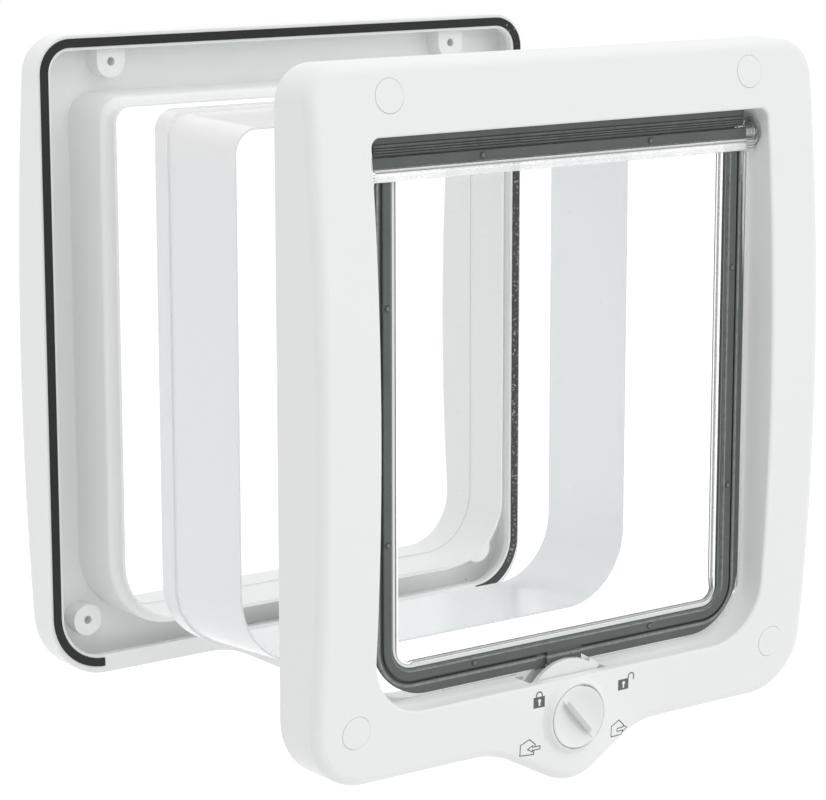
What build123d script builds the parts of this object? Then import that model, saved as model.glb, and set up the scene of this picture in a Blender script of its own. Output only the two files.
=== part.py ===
from build123d import *
import math
import os

os.makedirs("parts", exist_ok=True)

# Axes: X to the right, Y away from the room, Z up. All sizes in mm.
# Z = 0 lies midway between the two rows of screw caps, Y = 0 at the upper caps.

# Outline of both frames; the inner one is a little narrower
frame_half = 197.0
inner_half = 194.6
frame_top = 203.3
frame_bottom = -222.5
bump_tip = -248.0
bump_half = 57.0
bump_slope = 0.53
bump_tip_radius = 36.0
bump_foot_radius = 60.0
corner_top_radius = 24.0
corner_bottom_radius = 40.0
edge_round = 7.0
wall = 3.0

# Crowned face of the inner frame
crown_radius = 1590.0
crown_mid_z = -11.2
crown_mid_y = -12.1
crown_dome = 8.1
lock_face_y = -4.0
lock_face_width = 48.0
frame_back_y = 34.0
rib_back_y = 25.0

# Passage for the animal
passage_half = 152.8
passage_top = 161.3
passage_bottom = -181.5
passage_top_radius = 6.0
passage_corner_radius = 38.0
lip_round = 1.6
ledge_y = 23.0
ledge_thickness = 2.5
mouth_half = 152.4
mouth_top = 152.1
mouth_bottom = -181.0
mouth_corner_radius = 45.4
mouth_top_radius = 12.0
mouth_wall = 2.1
mouth_end_y = 37.0

# Fixing points, the same on both frames
fixing_top = (138.5, 184.7)
fixing_bottom = (165.2, -186.5)
cap_radius = 10.0
cap_gap = 0.2
cap_proud = 0.4
cap_thickness = 1.4
boss_radius = 12.4
head_radius = 4.8
head_bore_radius = 6.2
head_seat_y = 18.0
head_height = 3.2
shank_radius = 2.5
shank_bore_radius = 2.8
screw_tip_y = 73.0

# Flap: one clear moulding with two grey seals staked to it
axis_y = 12.2
axis_z = 145.3
pane_half = 150.0
pane_front_y = 11.0
pane_thickness = 2.4
pane_top = 148.4
pane_bottom = -177.5
pane_corner_radius = 42.0
bead_half = 125.5
bead_bottom = -154.4
bead_width = 1.6
bead_height = 0.9
bar_top = 142.0
bar_bottom = 134.3
bar_front_y = 6.6
disc_radius = 9.5
disc_thickness = 1.6
knuckle_radius = 3.4
knuckle_length = 5.2
pin_radius = 1.5
pin_running_gap = 0.06
pin_outer_x = 159.0

# Seals on the flap
band_front_y = 8.0
band_half = 137.6
band_width = 6.1
band_bottom = -165.8
band_radius = 22.0
flange_width = 3.5
flange_thickness = 1.0
lip_half = 145.5
lip_bottom = -175.0
lip_radius = 40.0
lip_web = 1.7
lip_front_y = 8.8
seal_top = 133.9
strip_half = 144.4
strip_bottom = 142.4
strip_top = 148.6
stake_radius = 1.4
stake_gap = 0.1
stake_head_radius = 2.1
stake_head_height = 0.8
stakes = [(-65.0, 145.5), (65.0, 145.5), (-134.5, 61.0), (134.5, 61.0),
          (-134.5, -80.0), (134.5, -80.0), (-70.0, -162.6), (70.0, -162.6)]

# Seal fixed under the head of the inner frame
head_seal_half = 143.5
head_seal_bottom = 149.5
head_seal_front_y = 8.9
head_seal_clear = 0.3
head_seal_room = 5.7
head_skirt_bottom = 146.6
head_skirt_y = 17.6
head_ribs = (151.0, 152.5, 154.0, 156.2)
head_rib_width = 0.7
head_rib_depth = 0.8

# Four-way lock
lock_z = -206.0
dial_radius = 20.0
dial_gap = 0.4
dial_front_y = -7.8
dial_back_y = 0.8
dish_depth = 5.0
dish_radius = 18.8
grip_width = 3.2
grip_angle = -49.0
skirt_front_y = -6.8
skirt_foot_radius = 25.5
skirt_lip = 0.9
cup_floor_y = 0.4
cup_floor_thickness = 2.8
shaft_radius = 8.0
shaft_running_gap = 0.06
shaft_flat = 6.0
shaft_end_y = 18.0
cam_radius = 34.4
lobe_radius = 36.8
cam_thickness = 3.0
cam_front_y = 4.2
cam_rear_y = 15.0
hub_radius = 12.0
hub_gap = 0.05
tab_left = -13.2
tab_right = 14.0
tab_gap = 0.35
tab_back_y = 14.2
tab_notch_radius = 38.8
slot_half = 30.6
slot_front_y = 3.4
slot_back_y = 18.8
cover_y = 21.6
cover_thickness = 2.0
cover_screw_x = 41.8

# Tunnel between the frames
tunnel_wall = 1.5
fit_gap = 0.3
tunnel_front_y = 134.5
tunnel_step_y = 206.0
tunnel_back_y = 219.1
tunnel_step = 1.2
tunnel_top_step = 2.2

# Outer frame
gasket_face_y = 299.3
rim_y = 300.3
far_edge_y = 330.3
collar_nose_y = 271.0
collar_half = 157.0
collar_top = 158.2
collar_bottom = -184.0
collar_top_radius = 10.0
collar_radius = 42.0
collar_wall = 1.7
collar_nose_round = 0.7
shoulder_y = 279.0
shoulder_front = 6.1
shoulder_foot = 6.7
shoulder_round = 4.3
far_lip_round = 3.2
collar_step_y = 305.0
collar_step = 0.8
collar_draft = 3.4
pan_y = 320.5
pan_thickness = 3.0
outer_boss_y = 307.5
outer_boss_radius = 10.5
outer_bore_radius = 2.8
rim_width = 9.2
rim_depth = 5.1
gasket_half = 195.2
gasket_top = 201.0
gasket_bottom = -217.8
gasket_top_radius = 21.5
gasket_bottom_radius = 38.0
gasket_width = 5.4
gasket_back_y = 303.0
gasket_end_x = 157.4
groove_gap = 0.2

fixings = [("top_left", -fixing_top[0], fixing_top[1]), ("top_right", fixing_top[0], fixing_top[1]),
           ("bottom_left", -fixing_bottom[0], fixing_bottom[1]),
           ("bottom_right", fixing_bottom[0], fixing_bottom[1])]


def facing(y):
    return Plane(origin=(0, y, 0), x_dir=(1, 0, 0), z_dir=(0, -1, 0))


def slab(shape, y_from, y_to):
    return extrude(facing(y_to) * shape, y_to - y_from)


def rod(x, z, radius, y_from, y_to):
    return slab(Pos(x, z) * Circle(radius), y_from, y_to)


def cross_rod(y, z, radius, x_from, x_to):
    start = Plane(origin=(x_from, y, z), x_dir=(0, 1, 0), z_dir=(1, 0, 0))
    return extrude(start * Circle(radius), x_to - x_from)


def block(x0, x1, y0, y1, z0, z1):
    size = (x1 - x0, y1 - y0, z1 - z0)
    return Pos((x0 + x1) / 2, (y0 + y1) / 2, (z0 + z1) / 2) * Box(*size)


def window(half, top, bottom, top_radius, bottom_radius):
    shape = Pos(0, (top + bottom) / 2) * Rectangle(2 * half, top - bottom)
    if top_radius > 0:
        shape = fillet(shape.vertices().group_by(Axis.Y)[-1], top_radius)
    if bottom_radius > 0:
        shape = fillet(shape.vertices().group_by(Axis.Y)[0], bottom_radius)
    return shape


def frame_outline(half, inset):
    tip = frame_bottom - bump_half * bump_slope
    shape = make_face(Polyline((-half, frame_top), (half, frame_top), (half, frame_bottom),
                               (bump_half, frame_bottom), (0, tip), (-bump_half, frame_bottom),
                               (-half, frame_bottom), close=True))
    low = shape.vertices().sort_by(Axis.Y)
    shape = fillet([low[0]], bump_tip_radius)
    feet = [v for v in shape.vertices() if abs(abs(v.X) - bump_half) < 0.01]
    shape = fillet(feet, bump_foot_radius)
    base = [v for v in shape.vertices() if abs(abs(v.X) - half) < 0.01 and v.Y < 0]
    shape = fillet(base, corner_bottom_radius)
    head = [v for v in shape.vertices() if abs(abs(v.X) - half) < 0.01 and v.Y > frame_top - 1]
    shape = fillet(head, corner_top_radius)
    if inset > 0:
        shape = offset(shape, -inset)
    return shape


def crown_y(z):
    return crown_mid_y + (z - crown_mid_z) ** 2 / (2 * crown_radius)


def face_y(x, z):
    swell = max(0.0, crown_y(z) - lock_face_y)
    rise = max(0.0, min(1.0, (-165.0 - z) / 40.0))
    return crown_y(z) - swell * rise * math.exp(-(x / lock_face_width) ** 2)


def crowned_block(depth):
    rows = []
    for i in range(33):
        z = -268.0 + i * 15.5
        rows.append([Vector(-216.0 + j * 18.0, face_y(-216.0 + j * 18.0, z), z) for j in range(25)])
    skin = Face.make_surface_from_array_of_points(rows, tol=0.02)
    return extrude(skin, depth, dir=(0, 1, 0))


def rounded_front(solid, limit_y, radius):
    edges = [e for e in solid.edges() if e.center().Y < limit_y and e.bounding_box().max.Y < limit_y]
    return fillet(edges, radius)


def save(part, name):
    export_step(part, "parts/" + name + ".step")
    print(name, round(part.volume / 1000, 2), "cm3", len(part.solids()), "solid", part.is_valid)


# Inner frame: crowned shell, open behind, with the passage walls inside it
face_block = crowned_block(90.0)
front_solid = slab(frame_outline(inner_half, 0), -20.0, frame_back_y) & face_block
front_solid = rounded_front(front_solid, 20.0, edge_round)
passage = window(passage_half, passage_top, passage_bottom, passage_top_radius, passage_corner_radius)
front_solid -= slab(passage, -30.0, ledge_y)
lips = [e for e in front_solid.edges() if abs(e.center().X) < passage_half + 0.5 and e.center().Y < 5
        and passage_bottom - 0.5 < e.center().Z < passage_top + 0.5]
front_solid = fillet(lips, lip_round)
cavity = slab(frame_outline(inner_half, wall), -20.0, frame_back_y + 1) & Pos(0, wall, 0) * face_block
cavity = rounded_front(cavity, 22.0, edge_round - wall)

passage_skin = window(passage_half + wall, passage_top + wall, passage_bottom - wall,
                      passage_top_radius + wall, passage_corner_radius + wall)
mouth = window(mouth_half, mouth_top, mouth_bottom, mouth_top_radius, mouth_corner_radius)
mouth_skin = window(mouth_half + mouth_wall, mouth_top + mouth_wall, mouth_bottom - mouth_wall,
                    mouth_top_radius + mouth_wall, mouth_corner_radius + mouth_wall)
ledge_back_y = ledge_y + ledge_thickness

inside = slab(passage_skin, -20.0, ledge_back_y)
for name, x, z in fixings:
    inside += rod(x, z, boss_radius, -20.0, frame_back_y - 1.0)
for x in (-90.0, 0.0, 90.0):
    inside += block(x - 1, x + 1, -20, rib_back_y, passage_top, frame_top - 1)
for x in (-110.0, 110.0):
    inside += block(x - 1, x + 1, -20, rib_back_y, frame_bottom + 1, passage_bottom)
for z in (-90.0, 10.0, 100.0):
    inside += block(-inner_half + 1, -passage_half, -20, rib_back_y, z - 1, z + 1)
    inside += block(passage_half, inner_half - 1, -20, rib_back_y, z - 1, z + 1)
cup_radius = dial_radius + dial_gap + 2.4
cup_back_y = cup_floor_y + cup_floor_thickness
inside += rod(0, lock_z, cup_radius, -20.0, cup_back_y)
for x in (-cover_screw_x, cover_screw_x):
    inside += rod(x, lock_z, 4.0, -20.0, cover_y - 0.05)
for side in (-1, 1):
    inner_x, outer_x = sorted((side * passage_half, side * (pin_outer_x + 1.5)))
    inside += cross_rod(axis_y, axis_z, 6.0, inner_x, outer_x)

inner_frame = (front_solid - cavity) + (inside & front_solid)
inner_frame += slab(mouth_skin, ledge_y, mouth_end_y)
skirt_inner = dial_radius + dial_gap
skirt = loft([facing(skirt_front_y) * Pos(0, lock_z) * Circle(skirt_inner + skirt_lip),
              facing(lock_face_y + 1.0) * Pos(0, lock_z) * Circle(skirt_foot_radius)])
skirt = fillet(skirt.edges().group_by(Axis.Y)[0], 0.6)
inner_frame += skirt
inner_frame -= slab(mouth, ledge_y - 1, mouth_end_y + 1)
inner_frame -= slab(passage, -30.0, ledge_y)
for name, x, z in fixings:
    pocket = rod(x, z, cap_radius + cap_gap, -30.0, 20.0) - Pos(0, cap_thickness, 0) * face_block
    inner_frame -= pocket
    inner_frame -= rod(x, z, head_bore_radius, -30.0, head_seat_y)
    inner_frame -= rod(x, z, shank_bore_radius, head_seat_y - 1, frame_back_y + 1)
inner_frame -= rod(0, lock_z, dial_radius + dial_gap, -30.0, cup_floor_y)
inner_frame -= rod(0, lock_z, shaft_radius + shaft_running_gap, -5.0, cup_back_y + 1)
inner_frame -= block(-slot_half, slot_half, slot_front_y, slot_back_y,
                     passage_bottom - wall - 1, passage_bottom + 1)
for x in (-cover_screw_x, cover_screw_x):
    inner_frame -= rod(x, lock_z, 1.3, cover_y - 12.0, cover_y)
for side in (-1, 1):
    inner_x, outer_x = sorted((side * (passage_half - 1), side * (pin_outer_x + 0.2)))
    inner_frame -= cross_rod(axis_y, axis_z, pin_radius + 0.03, inner_x, outer_x)
inner_frame -= block(-passage_half - 1.6, -passage_half - 0.9, face_y(-150, 147) - 3, face_y(-150, 147) + 0.8,
                     143.6, 150.4)
save(inner_frame, "inner_frame")

# Caps and the screws below them
for name, x, z in fixings:
    top = Pos(0, -cap_proud, 0) * face_block & rod(x, z, cap_radius, -30.0, 10.0)
    cap = top - Pos(0, cap_thickness - 0.05, 0) * face_block
    rims = cap.edges().filter_by(lambda e: e.length > 50).sort_by(Axis.Y)
    cap = fillet([rims[0]], 0.5)
    plug_y = crown_y(z) + cap_thickness - 0.6
    plug = rod(x, z, head_bore_radius - 0.15, plug_y, plug_y + 4.4)
    plug -= rod(x, z, head_bore_radius - 1.4, plug_y + 1.0, plug_y + 5.0)
    save(cap + plug, "screw_cap_" + name)
    head = rod(x, z, head_radius, head_seat_y - head_height, head_seat_y - 0.02)
    head = fillet(head.edges().group_by(Axis.Y)[0], 1.2)
    shank = rod(x, z, shank_radius, head_seat_y - 0.5, screw_tip_y)
    shank = chamfer(shank.edges().group_by(Axis.Y)[-1], 0.9)
    head -= block(x - 2.9, x + 2.9, -5, head_seat_y - head_height + 1.6, z - 0.5, z + 0.5)
    head -= block(x - 0.5, x + 0.5, -5, head_seat_y - head_height + 1.6, z - 2.9, z + 2.9)
    save(head + shank, "fixing_screw_" + name)

# Ribbed seal under the head, fixed to the ledge
head_seal = block(-head_seal_half, head_seal_half, head_seal_front_y, ledge_y - 0.02,
                  head_skirt_bottom, passage_top - head_seal_clear)
head_seal -= block(-head_seal_half - 1, head_seal_half + 1, head_seal_front_y - 1, axis_y, 100, head_seal_bottom)
head_seal -= block(-head_seal_half - 1, head_seal_half + 1, axis_y - 1, head_skirt_y, 100, axis_z + 3.0)
head_seal -= cross_rod(axis_y, axis_z, head_seal_room, -head_seal_half - 1, head_seal_half + 1)
for z in head_ribs:
    head_seal -= block(-head_seal_half - 1, head_seal_half + 1, head_seal_front_y - 1,
                       head_seal_front_y + head_rib_depth, z - head_rib_width / 2, z + head_rib_width / 2)
save(head_seal, "header_seal")

for side, word in ((-1, "left"), (1, "right")):
    ends = sorted((side * (pane_half - knuckle_length + 0.6), side * pin_outer_x))
    save(cross_rod(axis_y, axis_z, pin_radius, ends[0], ends[1]), "hinge_pin_" + word)

# Clear flap
pane_back_y = pane_front_y + pane_thickness
pane = slab(window(pane_half, pane_top, pane_bottom, 2.0, pane_corner_radius), pane_front_y, pane_back_y)
pane -= rod(0, lock_z, tab_notch_radius, pane_front_y - 1, pane_back_y + 1)
bead_outer = window(bead_half + bead_width, bar_bottom, bead_bottom - bead_width, 0, 10.0)
bead_inner = window(bead_half, bar_bottom + 2, bead_bottom, 0, 10.0 - bead_width)
pane += slab(bead_outer - bead_inner, pane_front_y - bead_height, pane_front_y + 0.2)
bar = block(-pane_half, pane_half, bar_front_y, pane_front_y + 0.5, bar_bottom, bar_top)
bar = fillet(bar.edges().filter_by(Axis.X).group_by(Axis.Y)[0], 1.2)
bar -= block(-pane_half - 1, pane_half + 1, bar_front_y - 1, bar_front_y + 0.7, bar_top - 2.9, bar_top - 2.2)
pane += bar
for side in (-1, 1):
    ends = sorted((side * (pane_half - knuckle_length), side * (pane_half + disc_thickness)))
    pane += cross_rod(axis_y, axis_z, knuckle_radius, ends[0], ends[1])
    ends = sorted((side * pane_half, side * (pane_half + disc_thickness)))
    disc = cross_rod(axis_y, axis_z, disc_radius, ends[0], ends[1])
    for ring in (7.6, 5.4):
        groove = cross_rod(axis_y, axis_z, ring, ends[0], ends[0] + 0.4)
        groove -= cross_rod(axis_y, axis_z, ring - 0.7, ends[0], ends[0] + 0.4)
        disc -= groove
    pane += disc
for side in (-1, 1):
    ends = sorted((side * (pane_half - knuckle_length + 0.2), side * (pane_half + disc_thickness + 1)))
    pane -= cross_rod(axis_y, axis_z, pin_radius + pin_running_gap, ends[0], ends[1])
for x, z in stakes:
    stake = rod(x, z, stake_radius, band_front_y - 0.2, pane_front_y + 0.5)
    stake_head = rod(x, z, stake_head_radius, band_front_y - stake_head_height, band_front_y - 0.02)
    stake_head = fillet(stake_head.edges().group_by(Axis.Y)[0], 0.7)
    pane += stake + stake_head
save(pane, "flap_pane")

# Grey seals on the flap
top_seal = block(-strip_half, strip_half, band_front_y, pane_front_y - 0.02, strip_bottom, strip_top)
top_seal = fillet(top_seal.edges().filter_by(Axis.X).group_by(Axis.Y)[0], 0.5)
for x, z in stakes[:2]:
    top_seal -= rod(x, z, stake_radius + stake_gap, band_front_y - 1, pane_front_y + 1)
save(top_seal, "flap_top_seal")

band_inner = band_half - band_width
band_inner_bottom = band_bottom + band_width
band_inner_radius = band_radius - band_width - 1.5
seal_back_y = pane_front_y - 0.02
band = slab(window(band_half, seal_top, band_bottom, 0, band_radius)
            - window(band_inner, seal_top + 1, band_inner_bottom, 0, band_inner_radius), band_front_y, seal_back_y)
band = chamfer([e for e in band.edges() if e.center().Y < band_front_y + 0.01 and e.length > 20], 0.4)
flange = slab(window(band_inner + 0.1, seal_top, band_inner_bottom - 0.1, 0, band_inner_radius)
              - window(band_inner - flange_width, seal_top + 1, band_inner_bottom + flange_width, 0,
                       band_inner_radius - 3.0), seal_back_y - flange_thickness, seal_back_y)
web = slab(window(lip_half, seal_top, lip_bottom, 0, lip_radius)
           - window(band_half - 0.1, seal_top + 1, band_bottom + 0.1, 0, band_radius - 0.1),
           seal_back_y - flange_thickness, seal_back_y)
rib = slab(window(lip_half, seal_top, lip_bottom, 0, lip_radius)
           - window(band_half + lip_web, seal_top + 1, band_bottom - lip_web, 0, band_radius + lip_web),
           lip_front_y, seal_back_y)
lip = web + rib
for side in (-1, 1):
    edge = make_face(Polyline((side * 141.6, seal_top + 1), (side * lip_half, 40.0), (side * 150.0, 40.0),
                              (side * 150.0, seal_top + 1), close=True))
    lip -= slab(edge, 0.0, 20.0)
lip -= block(tab_left - 7.2, tab_right, 0, 20, lip_bottom - 1, band_bottom)
lip -= rod(0, lock_z, lobe_radius + 0.7, 0, 20)
tab = block(tab_left, tab_right, band_front_y, tab_back_y, lip_bottom - 4, band_bottom + 0.1)
tab -= rod(0, lock_z, cam_radius + tab_gap, 0, 20)
edge_seal = band + flange + lip + tab
edge_seal -= rod(0, lock_z, cam_radius + tab_gap, 0, 20)
pane_room = slab(window(pane_half + 1, pane_top, pane_bottom - 1, 0, 1.0), pane_front_y - 0.02, pane_back_y + 0.05)
pane_room -= rod(0, lock_z, tab_notch_radius - 0.05, 0, 20)
tab_rear = block(-60, 60, pane_back_y + 0.04, 20, band_bottom - 1.5, band_bottom + 1)
edge_seal -= pane_room + tab_rear
for x, z in stakes[2:]:
    edge_seal -= rod(x, z, stake_radius + stake_gap, band_front_y - 1, pane_front_y + 1)
save(edge_seal, "flap_edge_seal")

# Lock: dial, double cam, screw and the cover behind them
dial = rod(0, lock_z, dial_radius, dial_front_y, dial_back_y - 0.75)
ball_radius = (dish_radius ** 2 + dish_depth ** 2) / (2 * dish_depth)
dish = Pos(0, dial_front_y + dish_depth - ball_radius, lock_z) * Sphere(ball_radius)
grip = slab(Pos(0, lock_z) * Rot(0, 0, grip_angle) * Rectangle(2 * dial_radius + 2, grip_width),
            dial_front_y - 1, dial_back_y)
dial -= dish - grip
dial = fillet([e for e in dial.edges() if abs(e.center().Y - dial_front_y) < 0.01
               and e.bounding_box().diagonal > 25 and e.geom_type == GeomType.CIRCLE
               and abs(e.radius - dial_radius) < 0.01], 0.7)
knob = dial
flats = block(-shaft_flat, shaft_flat, cam_front_y, shaft_end_y, lock_z - shaft_radius, lock_z + shaft_radius)
knob += rod(0, lock_z, shaft_radius, dial_back_y - 1, cam_front_y) + (
    rod(0, lock_z, shaft_radius, cam_front_y - 1, shaft_end_y) & flats)
knob -= rod(0, lock_z, 1.6, shaft_end_y - 10, shaft_end_y + 1)
save(knob, "lock_knob")


def cam_shape(lobes):
    shape = Circle(cam_radius)
    for start, stop in lobes:
        a0, a1 = math.radians(start), math.radians(stop)
        far = 2 * lobe_radius
        wedge = make_face(Polyline((0, 0), (far * math.cos(a0), far * math.sin(a0)),
                                   (far * math.cos((a0 + a1) / 2), far * math.sin((a0 + a1) / 2)),
                                   (far * math.cos(a1), far * math.sin(a1)), close=True))
        shape += Circle(lobe_radius) & wedge
    return Pos(0, lock_z) * shape


cam = slab(cam_shape([(46, 60), (-130, -94)]), cam_front_y, cam_front_y + cam_thickness)
cam += slab(cam_shape([(-130, -94), (177, 213)]), cam_rear_y, cam_rear_y + cam_thickness)
cam += rod(0, lock_z, hub_radius, cam_front_y, cam_rear_y + cam_thickness)
flats_room = block(-shaft_flat - hub_gap, shaft_flat + hub_gap, 0, 30, lock_z - 20, lock_z + 20)
cam -= rod(0, lock_z, shaft_radius + hub_gap, 0, 30) & flats_room
save(cam, "lock_cam")

cam_screw = rod(0, lock_z, 9.4, shaft_end_y + 0.02, shaft_end_y + 1.2)
cam_screw += rod(0, lock_z, 3.6, shaft_end_y + 1.0, shaft_end_y + 3.0)
cam_screw += rod(0, lock_z, 1.5, shaft_end_y - 9, shaft_end_y + 0.5)
cam_screw -= block(-2.4, 2.4, shaft_end_y + 1.8, shaft_end_y + 4, lock_z - 0.4, lock_z + 0.4)
cam_screw -= block(-0.4, 0.4, shaft_end_y + 1.8, shaft_end_y + 4, lock_z - 2.4, lock_z + 2.4)
save(cam_screw, "cam_screw")

cover_shape = Pos(0, lock_z) * (Circle(37.4) + RectangleRounded(2 * cover_screw_x + 11, 24, 5))
cover_shape &= Pos(0, -216) * Rectangle(120, 58.6)
cover = slab(cover_shape, cover_y, cover_y + cover_thickness)
for x in (-cover_screw_x, cover_screw_x):
    cover -= rod(x, lock_z, 1.8, cover_y - 1, cover_y + 5)
save(cover, "lock_cover")
for x, word in ((-cover_screw_x, "left"), (cover_screw_x, "right")):
    screw = rod(x, lock_z, 3.1, cover_y + cover_thickness + 0.02, cover_y + cover_thickness + 1.9)
    screw = fillet(screw.edges().group_by(Axis.Y)[-1], 0.8)
    screw += rod(x, lock_z, 1.2, cover_y - 9, cover_y + cover_thickness + 0.5)
    back = cover_y + cover_thickness + 1.9
    screw -= block(x - 1.9, x + 1.9, back - 0.9, back + 1, lock_z - 0.35, lock_z + 0.35)
    screw -= block(x - 0.35, x + 0.35, back - 0.9, back + 1, lock_z - 1.9, lock_z + 1.9)
    save(screw, "cover_screw_" + word)

# Tunnel: thin wall from the mouth size to the collar size, with a step near the outer end
front_size = (mouth_half + mouth_wall + fit_gap, mouth_top + mouth_wall + fit_gap,
              mouth_bottom - mouth_wall - fit_gap, mouth_top_radius + mouth_wall + fit_gap,
              mouth_corner_radius + mouth_wall + fit_gap)
band_size = (collar_half + collar_wall + fit_gap, collar_top + collar_wall + fit_gap,
             collar_bottom - collar_wall - fit_gap, collar_top_radius + collar_wall + fit_gap,
             collar_radius + collar_wall + fit_gap)
step_size = (band_size[0] - tunnel_step, band_size[1] - tunnel_top_step, band_size[2] + tunnel_step,
             band_size[3] + 2.0, band_size[4] - tunnel_step)


def tunnel_section(y, size, more):
    half, top, bottom, top_radius, bottom_radius = size
    return facing(y) * window(half + more, top + more, bottom - more, top_radius + more, bottom_radius + more)


def tunnel_solid(more, over):
    step_y = tunnel_step_y - more
    body = loft([tunnel_section(tunnel_front_y - over, front_size, more),
                 tunnel_section(tunnel_step_y, step_size, more)])
    end = tunnel_section(tunnel_back_y + over, band_size, more)
    return body + extrude(end, tunnel_back_y + over - step_y)


tunnel = tunnel_solid(tunnel_wall, 0.0) - tunnel_solid(0.0, 0.0)
save(tunnel, "tunnel")

# Outer frame: tray open to the door, crowned and hollow on the outside
far_crown_y = far_edge_y + crown_dome
outline = frame_outline(frame_half, 0)
crown_drum = Pos(0, far_crown_y - crown_radius, crown_mid_z) * Rot(0, 90, 0) * Cylinder(crown_radius, 500)
inner_drum = Pos(0, far_crown_y - crown_radius, crown_mid_z) * Rot(0, 90, 0) * Cylinder(crown_radius - wall, 500)
outer_solid = slab(outline, rim_y, far_crown_y + 9) & crown_drum
far_edges = [e for e in outer_solid.edges() if e.bounding_box().min.Y > rim_y + 8]
outer_solid = fillet(far_edges, edge_round)


def collar_section(y, more):
    return facing(y) * window(collar_half + more, collar_top + more, collar_bottom - more,
                              collar_top_radius + more, collar_radius + more)


def gasket_path(inset):
    return window(gasket_half - inset, gasket_top - inset, gasket_bottom + inset,
                  gasket_top_radius - inset, gasket_bottom_radius - inset)


front_passage = loft([collar_section(collar_nose_y - 1, 0.0),
                      collar_section(collar_step_y, -collar_draft * 0.5)])
far_passage = loft([collar_section(collar_step_y - 0.02, -collar_draft * 0.5 - collar_step),
                    collar_section(far_crown_y + 9, -collar_draft - collar_step)])
outer_solid -= far_passage
far_lips = [e for e in outer_solid.edges() if e.center().Y > far_edge_y - 3 and abs(e.center().X) < collar_half
            and collar_bottom < e.center().Z < collar_top and e.bounding_box().min.Y > rim_y + 15]
outer_solid = fillet(far_lips, far_lip_round)
closed_solid = outer_solid + (far_passage & slab(outline, rim_y, pan_y + pan_thickness))

shoulder = loft([collar_section(shoulder_y, shoulder_front), collar_section(pan_y + 1, shoulder_foot)])
shoulder = fillet(shoulder.edges().group_by(Axis.Y)[0], shoulder_round)
nose = slab(window(collar_half + collar_wall, collar_top + collar_wall, collar_bottom - collar_wall,
                   collar_top_radius + collar_wall, collar_radius + collar_wall),
            collar_nose_y, shoulder_y + 2)
nose = fillet(nose.edges().group_by(Axis.Y)[0], collar_nose_round)

tray = outer_solid - slab(frame_outline(frame_half, wall), rim_y - 1, pan_y)
ledge = (slab(outline, rim_y, rim_y + rim_depth) & closed_solid) - slab(
    gasket_path(gasket_width + 2.0), rim_y - 1, rim_y + rim_depth + 1)
tray += ledge
void = slab(frame_outline(frame_half, wall + 1.5), pan_y + pan_thickness, far_crown_y + 9) & inner_drum
void -= slab(window(collar_half + 3, collar_top + 3, collar_bottom - 3, collar_top_radius, collar_radius + 3),
             pan_y, far_crown_y + 10)
for name, x, z in fixings:
    boss = rod(x, z, outer_boss_radius, outer_boss_y, pan_y + 1)
    if z > 0:
        boss += block(x - outer_boss_radius, x + outer_boss_radius, outer_boss_y, pan_y + 1, z, frame_top - 2)
    tray += boss & closed_solid
    void -= rod(x, z, outer_bore_radius + 2.5, pan_y, far_crown_y + 9)
edge_room = slab(frame_outline(frame_half, edge_round), far_edge_y - 9, far_crown_y + 9)
edge_room += slab(frame_outline(frame_half, wall + 1.5), pan_y, far_edge_y - 9)
tray -= void & edge_room
tray += (shoulder + nose) - front_passage - far_passage
for name, x, z in fixings:
    tray -= rod(x, z, outer_bore_radius, outer_boss_y - 1, far_crown_y + 9)
groove = slab(gasket_path(-groove_gap) - gasket_path(gasket_width + groove_gap), rim_y - 1, gasket_back_y + 0.05)
end_room = block(-gasket_end_x + groove_gap, gasket_end_x - groove_gap, rim_y - 5, gasket_back_y + 5,
                 frame_bottom - 60, -200)
tray -= groove - end_room
save(tray, "outer_frame")

gasket = slab(gasket_path(0) - gasket_path(gasket_width), gasket_face_y, gasket_back_y)
gasket -= block(-gasket_end_x, gasket_end_x, gasket_face_y - 5, gasket_back_y + 5, frame_bottom - 60, -200)
save(gasket, "door_gasket")
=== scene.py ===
"""Chicken coop door taken apart in a row: inner frame with flap and lock, tunnel, outer frame.

Every shape but one comes from the CAD frame. This script gives each piece its finish, adds a dark sheet
behind the latch notch as painted shadow, and sets up the room, the floor and the camera. A finish
reckons in mm, with the CAD's own x, y and z.
"""
import math
from functools import reduce

import bpy
from mathutils import Euler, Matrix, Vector


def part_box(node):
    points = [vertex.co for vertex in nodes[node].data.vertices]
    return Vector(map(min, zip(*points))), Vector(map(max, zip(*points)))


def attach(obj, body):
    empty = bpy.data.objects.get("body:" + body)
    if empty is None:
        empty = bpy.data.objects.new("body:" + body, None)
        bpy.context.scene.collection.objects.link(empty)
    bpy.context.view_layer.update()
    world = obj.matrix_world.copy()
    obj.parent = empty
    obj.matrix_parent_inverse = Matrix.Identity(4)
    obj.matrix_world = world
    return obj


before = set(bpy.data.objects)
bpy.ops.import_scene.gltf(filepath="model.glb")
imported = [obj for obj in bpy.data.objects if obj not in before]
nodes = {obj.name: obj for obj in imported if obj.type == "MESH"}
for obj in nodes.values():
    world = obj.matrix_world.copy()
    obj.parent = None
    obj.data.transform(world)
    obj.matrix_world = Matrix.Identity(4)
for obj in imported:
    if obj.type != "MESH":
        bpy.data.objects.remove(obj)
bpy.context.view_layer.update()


def box_mm(node):
    """A CAD node's lowest and highest corner at rest, in mm."""
    return [[value * 1000.0 for value in corner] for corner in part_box(node)]


def centre(node, axis):
    low, high = box_mm(node)
    return (low[axis] + high[axis]) / 2


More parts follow.
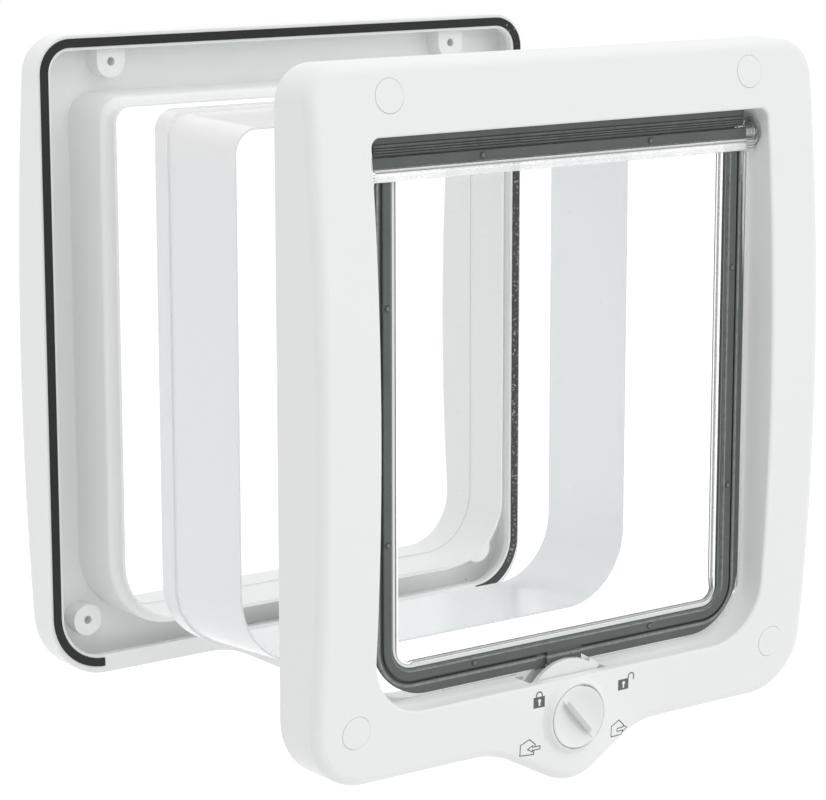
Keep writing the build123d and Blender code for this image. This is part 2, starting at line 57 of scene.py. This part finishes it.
# Places in mm, taken from the frame's boxes or measured from them as in the CAD
X, Y, Z = range(3)
dial_z = centre("lock_knob", Z)
dial_radius = box_mm("lock_knob")[1][X]
hinge_y = centre("hinge_pin_left", Y)
hinge_z = centre("hinge_pin_left", Z)
seal_low, seal_high = box_mm("flap_edge_seal")
seal_front = seal_low[Y]
seal_top = seal_high[Z]
lip_half = seal_high[X]
band_half = lip_half - 7.9
band_bottom = seal_low[Z] + 9.2
band_corner = 22.0
bead_half = band_half - 12.1
bead_bottom = band_bottom + 11.4
bead_corner = 8.4
bar_bottom = seal_top + 0.4
bar_top = bar_bottom + 7.7
bar_end = 144.0
disc_bottom = 133.0
stakes = ((65.0, 145.5), (134.5, 61.0), (134.5, -80.0), (70.0, -162.6))
stake_head_radius = 2.1
# Heights of the painted shade lines and painted highlights on the header seal, in mm
head_seal_shade_lines = (150.95, 152.5, 153.95, 156.2)
head_seal_ridges = (151.8, 153.2, 155.2)

# Lines along the edge seal, in mm outside the outline of its raised band, for painted highlights,
# painted shade and the film's edge
lip_shade_line = 1.2
lip_ridge = 3.3
band_ridge = -5.9
flange_start = -6.2
band_shade_line = -7.3
film_start = -7.5
flange_end = -9.2

# Middle of each left icon round the dial, and the step to the right one, in mm
padlock_x, padlock_z = -28.2, -192.6
padlock_step_x, padlock_step_z = 68.0, -0.8
house_x, house_z = -34.9, -215.4
house_step_x, house_step_z = 72.2, -1.1

# Colours of the white plastics
frame_white = (0.90, 0.915, 0.908)
# The outer frame's white is paler than the inner frame's: painted light that makes up for the shade in its
# deep pan
outer_frame_brightened_white = (0.945, 0.962, 0.955)
tunnel_dim, tunnel_bright = (0.85, 0.868, 0.888), (0.865, 0.885, 0.905)
knob_white = (0.88, 0.895, 0.888)
cam_white = (0.86, 0.87, 0.87)


def feed(tree, socket, value):
    """Links a number, a node or another socket to a socket, or writes a plain value there."""
    if isinstance(value, Maths):
        value = value.source
    if isinstance(value, bpy.types.Node):
        value = value.outputs[0]
    if isinstance(value, bpy.types.NodeSocket):
        tree.links.new(value, socket)
    elif socket.type == "RGBA":
        socket.default_value = (*value, 1.0)
    else:
        socket.default_value = value


class Maths:
    """A number in a node tree, to reckon with as in plain sums."""

    def __init__(self, tree, source):
        self.tree = tree
        self.source = source

    def _node(self, operation, *values, clamp=False):
        node = self.tree.nodes.new("ShaderNodeMath")
        node.operation = operation
        node.use_clamp = clamp
        for socket, value in zip(node.inputs, values):
            feed(self.tree, socket, value)
        return Maths(self.tree, node)

    def __add__(self, other):
        return self._node("ADD", self, other)

    def __sub__(self, other):
        return self._node("SUBTRACT", self, other)

    def __rsub__(self, other):
        return self._node("SUBTRACT", other, self)

    def __neg__(self):
        return 0.0 - self

    def __mul__(self, other):
        return self._node("MULTIPLY", self, other)

    def __truediv__(self, other):
        return self._node("DIVIDE", self, other)

    def __pow__(self, other):
        return self._node("POWER", self, other)

    __radd__ = __add__
    __rmul__ = __mul__

    def low(self, other):
        return self._node("MINIMUM", self, other)

    def high(self, other):
        return self._node("MAXIMUM", self, other)

    def size(self):
        return self._node("ABSOLUTE", self)

    def root(self):
        return self._node("SQRT", self)

    def wave(self):
        return self._node("SINE", self)

    def held(self):
        """Kept from 0 to 1."""
        return self._node("ADD", self, 0.0, clamp=True)

    def ramp(self, start, end):
        """0 before start, rising to 1 at end."""
        return ((self - start) / (end - start)).held()


class Tree:
    """A node tree, filled by one method."""

    def __init__(self, owner):
        owner.use_nodes = True
        self.tree = owner.node_tree
        self.tree.nodes.clear()

    def node(self, kind, inputs=None, **settings):
        """Adds a node, applies its settings, then feeds its inputs, given by name or number."""
        node = self.tree.nodes.new(kind)
        for key, value in settings.items():
            setattr(node, key, value)
        for name, value in (inputs or {}).items():
            feed(self.tree, node.inputs[name], value)
        return node

    def parts(self, vector):
        """The three numbers of a vector."""
        split = self.node("ShaderNodeSeparateXYZ", {0: vector})
        return [Maths(self.tree, socket) for socket in split.outputs]

    def seen_rays(self):
        """1 for what the camera, a mirror image or the clear plastic sees, 0 for what only lights."""
        rays = self.node("ShaderNodeLightPath")
        kinds = ("Is Camera Ray", "Is Glossy Ray", "Is Transmission Ray")
        return together([Maths(self.tree, rays.outputs[kind]) for kind in kinds])


class Paint(Tree):
    """One material, whose patterns lie in the CAD's x, y and z in mm."""

    def __init__(self, name):
        self.material = bpy.data.materials.new(name)
        super().__init__(self.material)
        self.coat = self.node("ShaderNodeBsdfPrincipled")
        self.out = self.node("ShaderNodeOutputMaterial", {0: self.coat})
        where = self.node("ShaderNodeTexCoord")
        self.place = where.outputs["Object"]
        self.x, self.y, self.z = [part * 1000.0 for part in self.parts(self.place)]
        self.front = -self.parts(where.outputs["Normal"])[Y]

    def noise(self, scale, detail=3.0, roughness=0.5):
        return Maths(self.tree, self.node("ShaderNodeTexNoise", {
            "Vector": self.place, "Scale": scale, "Detail": detail, "Roughness": roughness}))

    def mix(self, share, first, second):
        """The first colour where the share is 0, the second where it is 1."""
        return self.node("ShaderNodeMix", {0: share, 6: first, 7: second}, data_type="RGBA").outputs[2]

    def bump(self, height, strength, depth):
        return self.node("ShaderNodeBump", {"Height": height, "Strength": strength, "Distance": depth})

    def mix_shader(self, share, first, second):
        return self.node("ShaderNodeMixShader", {0: share, 1: first, 2: second})

    def set(self, **values):
        for name, value in values.items():
            feed(self.tree, self.coat.inputs[name.replace("_", " ")], value)
        return self

    def show(self, shader):
        """Shows another shader than the coat alone."""
        feed(self.tree, self.out.inputs[0], shader)

    def on(self, *pieces):
        """Puts the finish on CAD nodes, given by name, or on added pieces."""
        for piece in pieces:
            mesh = nodes[piece].data if isinstance(piece, str) else piece.data
            mesh.materials.clear()
            mesh.materials.append(self.material)
        return self


def together(shapes):
    """The union of several masks."""
    return reduce(Maths.high, shapes)


def line(value, middle, width, soft=0.15):
    """1 within a band around the middle value, fading over the soft edge."""
    return (width / 2 - (value - middle).size()).ramp(-soft, soft)


def distance(across, up):
    return (across * across + up * up).root()


def edge(paint, half, bottom, corner):
    """Distance in mm outside a window open at the top, with rounded lower corners."""
    side = paint.x.size() - (half - corner)
    below = (bottom + corner) - paint.z
    return distance(side.high(0.0), below.high(0.0)) + side.high(below).low(0.0) - corner


def stroke(x, z, start, end, width):
    """How far inside a straight printed line a point lies, in mm."""
    dx, dz = end[0] - start[0], end[1] - start[1]
    length = math.hypot(dx, dz)
    ux, uz = dx / length, dz / length
    along = x * ux + z * uz - (start[0] * ux + start[1] * uz + length / 2)
    across = z * ux - x * uz - (start[1] * ux - start[0] * uz)
    return (width / 2 - across.size()).low(length / 2 + width / 2 - along.size())


def strokes(x, z, points, width):
    return [stroke(x, z, start, end, width) for start, end in zip(points, points[1:])]


def padlocks(paint, right):
    """How far inside the closed padlock, left of the dial, and the open one, right of it."""
    half_width, half_height = 4.4, 3.5
    hole_right, hole_up, hole_radius = 0.3, 0.9, 1.15
    slit_half, slit_length = 0.62, 3.2
    bow_right, bow_open_right, bow_up = 0.1, 6.1, 4.3
    bow_radius, bow_half_width, bow_leg = 2.25, 0.45, 2.4
    x = paint.x - padlock_x - right * padlock_step_x
    z = paint.z - padlock_z - right * padlock_step_z
    body = (half_width - x.size()).low(half_height - z.size())
    hole_x, hole_z = x - hole_right, z - hole_up
    slit = (slit_half - hole_x.size()).low(hole_z + slit_length).low(-hole_z)
    keyhole = (hole_radius - distance(hole_x, hole_z)).high(slit)
    bow_x, bow_z = x - bow_right - right * bow_open_right, z - bow_up
    off_bow = (distance(bow_x, bow_z.high(0.0)) - bow_radius).size()
    bow = (bow_half_width - off_bow).low(bow_z + bow_leg)
    return body.low(-keyhole).high(bow)


def houses(paint, right):
    """How far inside the small houses below the dial, with an arrow in or out of each."""
    x = paint.x - house_x - right * house_step_x
    z = paint.z - house_z - right * house_step_z
    house_stroke, arrow_stroke = 0.74, 0.7
    roof = [(-6.4, -9.8), (-6.4, -3.0), (0.0, 0.0), (4.4, -3.8), (4.4, -5.0)]
    ground = [(-6.4, -9.8), (3.4, -10.2), (3.7, -8.0)]
    left_tip, right_tip, arrow_z = -1.0, 7.8, -6.4
    head_length, head_half, shaft_half, arrow_length = 3.6, 2.1, 1.0, 9.0
    arrow = [(0.0, 0.0), (head_length, head_half), (head_length, shaft_half),
             (arrow_length, shaft_half), (arrow_length, 0.0)]
    along = (x - left_tip) * (1.0 - 2.0 * right) + (right_tip - left_tip) * right
    beside = (z - arrow_z).size()
    return together(strokes(x, z, roof, house_stroke) + strokes(x, z, ground, house_stroke)
                    + strokes(along, beside, arrow, arrow_stroke))


def lock_icons(paint):
    """The four printed icons as one mask, on faces that look forward."""
    right = paint.x.ramp(-0.01, 0.01)
    return padlocks(paint, right).high(houses(paint, right)).ramp(-0.07, 0.09) * paint.front.ramp(0.15, 0.3)


def dial_distance(paint):
    return distance(paint.x, paint.z - dial_z)


def dial_side(paint, x, z):
    """How much a point lies towards (x, z) as seen from the dial's axis, from -1 to 1."""
    return (paint.x * x + (paint.z - dial_z) * z) / dial_distance(paint)


def dial_gap_shade(paint, radius, width):
    """Painted shade in the gap round the dial, drawn where it shows: above right and below."""
    above_right = dial_side(paint, 0.94, 0.34).ramp(0.3, 0.5)
    below = dial_side(paint, 0.1, -0.99).ramp(0.86, 0.94)
    shown = above_right.high(below) * paint.front.ramp(0.2, 0.4)
    return line(dial_distance(paint), radius, width, 0.2) * shown


def moulded_plastic(name, dim, bright, grain=0.35, gloss=0.34):
    """Satin plastic with a fine grain, whose tone drifts from a dim to a bright colour."""
    paint = Paint(name)
    cloud = paint.noise(9.0, 2.0)
    speck = paint.noise(700.0, 2.0)
    paint.tint = paint.mix(cloud, dim, bright)
    return paint.set(Base_Color=paint.tint, IOR=1.49,
                     Roughness=gloss + (cloud - 0.5) * 0.06 + (speck - 0.5) * 0.08,
                     Normal=paint.bump(paint.noise(2400.0, 2.0), grain, 0.00004))


def white_plastic(name, white, grain=0.35, gloss=0.34):
    return moulded_plastic(name, [share * 0.985 for share in white], white, grain, gloss)


def printed_plastic():
    """White plastic of the inner frame, with painted shade in the dial's gap and in a crescent beside the
    dial, and the printed icons.
    """
    paint = white_plastic("printed_white_plastic", frame_white)
    # Painted shade: a soft crescent on the slope at the dial's lower left, and a dark line in the gap above
    # right and below
    lower_left = dial_side(paint, -0.8, -0.6).ramp(0.3, 0.8)
    crescent_shade = line(dial_distance(paint), dial_radius + 2.6, 2.6, 1.2) * lower_left * 0.3
    tone = paint.mix(crescent_shade, paint.tint, (0.6, 0.62, 0.61))
    tone = paint.mix(dial_gap_shade(paint, dial_radius + 0.8, 0.35) * 0.5, tone, (0.12, 0.13, 0.13))
    ink = paint.mix(paint.noise(900.0), (0.075, 0.09, 0.092), (0.105, 0.125, 0.125))
    return paint.set(Base_Color=paint.mix(lock_icons(paint), tone, ink))


def tunnel_plastic():
    """Thin glossy plastic that lets light through, with a painted highlight that makes the tunnel's roof
    palest.
    """
    paint = moulded_plastic("tunnel_plastic", tunnel_dim, tunnel_bright, grain=0.15, gloss=0.2)
    # Painted highlight: paler towards the top of the roof
    roof = paint.z.ramp(128.0, 152.0)
    return paint.set(Base_Color=paint.mix(roof, paint.tint, (0.97, 0.97, 0.955)), Subsurface_Weight=0.8,
                     Subsurface_Radius=(1.0, 1.0, 1.0), Subsurface_Scale=0.004)


def knob_plastic():
    """White plastic of the dial, with painted shade beside its grip and in the gap at its edge."""
    paint = white_plastic("knob_plastic", knob_white, gloss=0.38)
    grip_x, grip_z = 0.755, 0.656
    rise = paint.z - dial_z
    across = paint.x * grip_x + rise * grip_z
    along = paint.x * grip_z - rise * grip_x

    # Painted shade: deep on the grip, weaker on the floor at its lower left, none past its other side and
    # its ends
    on_grip = across.ramp(-1.8, -1.4)
    on_floor = across.ramp(-4.6, -3.8)
    past_grip = across.ramp(1.2, 1.6)
    past_ends = along.size().ramp(13.5, 15.5)
    shade = (on_grip + on_floor * 0.6).held() * (1.0 - past_grip)
    shade = (shade - on_floor * (1.0 - on_grip) * 0.25) * (1.0 - past_ends)
    tone = paint.mix(shade * 0.72, paint.tint, (0.52, 0.54, 0.53))
    # Painted shade in the gap at the dial's edge
    gap_shade = dial_gap_shade(paint, dial_radius - 0.25, 0.5) * 0.85
    return paint.set(Base_Color=paint.mix(gap_shade, tone, (0.1, 0.11, 0.11)))


def seal_rubber(name, shade_lines, highlights, film=None):
    """Grey rubber with painted highlights on its ridges and painted shade along its grooves; film is where
    clear plastic shows through.
    """
    seal = Paint(name)
    streak = seal.noise(45.0, 4.0, 0.6)
    dust = seal.noise(1600.0, 3.0, 0.6).ramp(0.62, 0.72)
    tone = seal.mix(streak, (0.072, 0.083, 0.080), (0.105, 0.120, 0.116))
    tone = seal.mix(dust * 0.6, tone, (0.2, 0.22, 0.21))
    # Painted highlights on the ridges, then painted shade along the grooves
    tone = seal.mix(highlights(seal), tone, (0.36, 0.39, 0.38))
    tone = seal.mix(shade_lines(seal), tone, (0.022, 0.027, 0.026))
    if film:
        tone = seal.mix(film(seal), tone, (0.82, 0.84, 0.83))
    return seal.set(Base_Color=tone, Roughness=seal.noise(60.0) * 0.25 + 0.42,
                    Normal=seal.bump(seal.noise(2600.0), 0.4, 0.00005))


def band_edge(seal):
    """Distance in mm outside the edge seal's raised band; the flange lies inside it."""
    return edge(seal, band_half, band_bottom, band_corner)


def right_flange(seal):
    return seal.x.ramp(122.0, 126.0)


def edge_shade_lines(seal):
    # Painted shade: dark lines beside the raised band and along the right flange's inner edge
    out = band_edge(seal)
    beside_band = line(out, lip_shade_line, 0.9).high(line(out, band_shade_line, 0.6))
    along_flange = line(out, flange_end, 1.3) * right_flange(seal)
    return beside_band.high(along_flange) * 0.85


def edge_highlights(seal):
    out = band_edge(seal)
    # Painted highlights: a pale flange and lighter lines on the lip and band ridges, broken up at random
    highlight_patches = (seal.noise(260.0).ramp(0.3, 0.6) * 0.5 + 0.5) * 0.7
    flange = out.ramp(flange_start, flange_start - 0.3) * 0.45
    return together([flange, line(out, lip_ridge, 1.4, 0.4) * highlight_patches, line(out, band_ridge, 0.9, 0.3) * highlight_patches])


def edge_film(seal):
    return band_edge(seal).ramp(film_start, film_start - 0.6) * (1.0 - right_flange(seal))


def head_shade_lines(seal):
    # Painted shade in the grooves between the header seal's ribs
    return together([line(seal.z, height, 0.55, 0.2) for height in head_seal_shade_lines]) * 0.6


def head_highlights(seal):
    # Painted highlights on the header seal's ribs, broken up at random
    highlight_patches = seal.noise(180.0).ramp(0.42, 0.62)
    return together([line(seal.z, height, 0.4, 0.2) for height in head_seal_ridges]) * highlight_patches * 0.25


def gasket_foam():
    """Black foam with open pores, and pale specks on its right side."""
    foam = Paint("black_foam")
    cells = Maths(foam.tree, foam.node("ShaderNodeTexVoronoi", {"Vector": foam.place, "Scale": 1800.0}))
    pores = foam.mix(cells.held(), (0.009, 0.009, 0.01), (0.027, 0.028, 0.029))
    pale_specks = foam.noise(520.0, 2.0).ramp(0.60, 0.66) * foam.x.ramp(180.0, 184.0)
    return foam.set(Base_Color=foam.mix(pale_specks, pores, (0.32, 0.33, 0.33)), Roughness=0.8,
                    Normal=foam.bump(cells, 0.7, 0.0002))


def zinc_steel():
    steel = Paint("zinc_steel")
    tone = steel.mix(steel.noise(300.0), (0.55, 0.56, 0.57), (0.72, 0.73, 0.74))
    return steel.set(Base_Color=tone, Metallic=1.0, Roughness=steel.noise(900.0) * 0.2 + 0.22)


def stake_marks(clear):
    """The heads of the eight heat stakes, and the dark ring round each."""
    spot = reduce(Maths.low, [distance(clear.x.size() - x, clear.z - z) for x, z in stakes])
    head = 1.0 - spot.ramp(stake_head_radius + 0.1, stake_head_radius + 0.3)
    head = head * (1.0 - clear.y.ramp(seal_front + 0.2, seal_front + 0.4))
    return head, line(spot, 1.7, 0.7, 0.3) * head


def clear_plastic():
    """Clear pane, glossy at a slant, cloudy where its moulding is thick, with painted shade lines and
    painted highlights on its bar and bead, and dark lines on its discs and rim.
    """
    clear = Paint("clear_plastic")
    sideways = clear.x.size()
    streaks = clear.noise(120.0, 4.0, 0.6)

    # Stiffening bar: painted shade lines, two streaked ones low on it and one firm one high on it, and a
    # painted highlight of extra gloss at its top edge
    inside = 1.0 - sideways.ramp(bar_end - 0.4, bar_end)
    on_bar = clear.z.ramp(seal_top, seal_top + 0.3) * inside
    bar_shade_lines = together([line(clear.z, bar_top - 1.8, 1.1, 0.3) * 0.8,
                          line(clear.z, bar_bottom + 2.8, 1.0, 0.5) * streaks * 0.5,
                          line(clear.z, bar_bottom + 1.1, 1.1, 0.5) * streaks * 0.6]) * on_bar
    bar_light = line(clear.z, bar_top - 0.1, 1.5, 0.3) * on_bar * 0.9

    # Bead line: painted shade on its dark side, which shifts outwards along the bottom and more so along
    # the left, with a painted highlight of extra gloss beside it
    bead = edge(clear, bead_half, bead_bottom, bead_corner)
    shift = ((-clear.z).ramp(140.0, 150.0) * 1.5).high((-clear.x).ramp(112.0, 118.0) * 2.8)
    bead_shade_line = line(bead - shift, -0.9, 1.1, 0.3) * (1.0 - on_bar)
    bead_light = line(bead, 1.5, 2.6, 0.3) * (1.0 - on_bar)

    # Rings on the end discs at the hinge, and the pane's rim below them
    high_up = clear.z.ramp(disc_bottom, disc_bottom + 0.2)
    disc = (1.0 - inside) * high_up
    hub = distance(clear.y - hinge_y, clear.z - hinge_z)
    rings = ((hub * 4.6 + streaks * 3.0).wave() * 0.5 + 0.5) * disc
    rim = sideways.ramp(lip_half - 0.1, lip_half + 0.2) * (1.0 - high_up)
    rim_line = line(sideways, lip_half + 1.9, 0.8, 0.3) * rim

    head, ring = stake_marks(clear)
    fleck = clear.noise(240.0, 1.0).ramp(0.79, 0.82) * 0.3

    # Painted shade lines on the bar and bead, with the dark lines on the discs and rim
    dark = together([bar_shade_lines, bead_shade_line * 0.8, rings, rim_line])
    tone = clear.mix(dark, (0.93, 0.94, 0.937), (0.16, 0.175, 0.17))
    tone = clear.mix(head, tone, clear.mix(ring, (0.13, 0.15, 0.145), (0.03, 0.034, 0.033)))
    clear.set(Base_Color=tone, Roughness=0.25)

    see = clear.node("ShaderNodeBsdfTransparent", {"Color": (0.99, 0.993, 0.993)})
    shine = clear.node("ShaderNodeBsdfGlossy", {"Color": (1.0, 1.0, 1.0), "Roughness": 0.05})
    slant = Maths(clear.tree, clear.node("ShaderNodeLayerWeight", {"Blend": 0.5}).outputs["Facing"])
    # Gloss: more at a slant and on the thick moulding, with painted highlights at the bar's top and beside
    # the bead
    glare = together([slant ** 5 * 0.7 + 0.015, on_bar * 0.45, bar_light,
                      bead_light * 0.7, disc * 0.7, rim * 0.8])
    # Opaque share: the cloudy bar, discs, stake heads and flecks, and all the dark lines
    cloud = together([on_bar * streaks * 0.5 + bar_shade_lines, bead_shade_line, rings,
                      disc * 0.3, rim_line, head, fleck])
    clear.show(clear.mix_shader(cloud.held(), clear.mix_shader(glare, see, shine), clear.coat))
    return clear


def notch_shadow_sheet(finish):
    """Dark sheet of edge-seal rubber behind the notch left of the latch tab, painted shadow for the dark
    gap there, in metres.
    """
    left, right = -0.0205, -0.0131
    front, back = 0.01, 0.01095
    bottom, top = -0.1762, -0.1656
    points = [(x, y, z) for x in (left, right) for y in (front, back) for z in (bottom, top)]
    faces = [(0, 1, 3, 2), (4, 6, 7, 5), (0, 4, 5, 1), (2, 3, 7, 6), (0, 2, 6, 4), (1, 5, 7, 3)]
    mesh = bpy.data.meshes.new("notch_shadow_sheet")
    mesh.from_pydata(points, [], faces)
    shadow_sheet = bpy.data.objects.new("notch_shadow_sheet", mesh)
    bpy.context.scene.collection.objects.link(shadow_sheet)
    finish.on(shadow_sheet)
    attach(shadow_sheet, "flap")


def white_room():
    """Light from a white room, brighter above and in front, that itself shows plain white."""
    world = bpy.data.worlds.new("studio")
    bpy.context.scene.world = world
    room = Tree(world)
    dx, dy, dz = room.parts(room.node("ShaderNodeTexCoord").outputs["Generated"])
    level = 0.97 + dx * 0.15 - dy * 0.10 + dz * 0.22 - dx * dy * 0.45 - dx * dx * 0.4
    seen = room.seen_rays()
    strength = seen + (1.0 - seen) * level
    light = room.node("ShaderNodeBackground", {"Color": (1.0, 1.0, 1.0), "Strength": strength})
    room.node("ShaderNodeOutputWorld", {0: light})


def pale_floor():
    """Floor well below the parts, which hang free. It glows only where it is seen."""
    floor_z = -1.1
    bpy.ops.mesh.primitive_plane_add(size=80.0, location=(0.0, 0.0, floor_z))
    floor = bpy.context.object
    floor.name = "floor"
    ground = Paint("floor_white").set(Base_Color=(0.78, 0.78, 0.78), Roughness=0.9, Specular_IOR_Level=0.0)
    glow = ground.node("ShaderNodeEmission", {"Strength": 0.5})
    lit = ground.node("ShaderNodeAddShader", {0: ground.coat, 1: glow})
    ground.show(ground.mix_shader(ground.seen_rays(), ground.coat, lit))
    ground.on(floor)


def photo_camera():
    """Camera with the place and lens that fit the photo."""
    camera = bpy.data.objects.new("camera", bpy.data.cameras.new("camera"))
    bpy.context.scene.collection.objects.link(camera)
    camera.data.sensor_width = 36.0
    camera.data.lens = 127.30
    camera.data.clip_start = 0.05
    camera.data.clip_end = 20.0
    camera.location = Vector((-1.1143, -1.34065, 0.33618))
    down, roll, turn = 11.164, 0.05, -36.515
    camera.rotation_euler = Euler((math.radians(90 - down), math.radians(roll), math.radians(turn)), "XYZ")
    bpy.context.scene.camera = camera


caps = [name for name in nodes if name.startswith("screw_cap_")]
screws = [name for name in nodes if "screw" in name and name not in caps]
white_plastic("white_plastic", frame_white).on(*caps)
printed_plastic().on("inner_frame")
white_plastic("outer_white_plastic", outer_frame_brightened_white).on("outer_frame")
tunnel_plastic().on("tunnel")
knob_plastic().on("lock_knob")
white_plastic("cam_plastic", cam_white, grain=0.4, gloss=0.45).on("lock_cam", "lock_cover")
edge_rubber = seal_rubber("grey_edge_seal", edge_shade_lines, edge_highlights, edge_film).on("flap_edge_seal")
seal_rubber("grey_head_seal", head_shade_lines, head_highlights).on("header_seal", "flap_top_seal")
gasket_foam().on("door_gasket")
zinc_steel().on(*screws, "hinge_pin_left", "hinge_pin_right")
clear_plastic().on("flap_pane")
# Painted shadow: a dark sheet behind the latch notch
notch_shadow_sheet(edge_rubber)

for node in nodes.values():
    node.data.polygons.foreach_set("use_smooth", [True] * len(node.data.polygons))

white_room()
pale_floor()
photo_camera()
bpy.context.scene.view_settings.view_transform = "Standard"
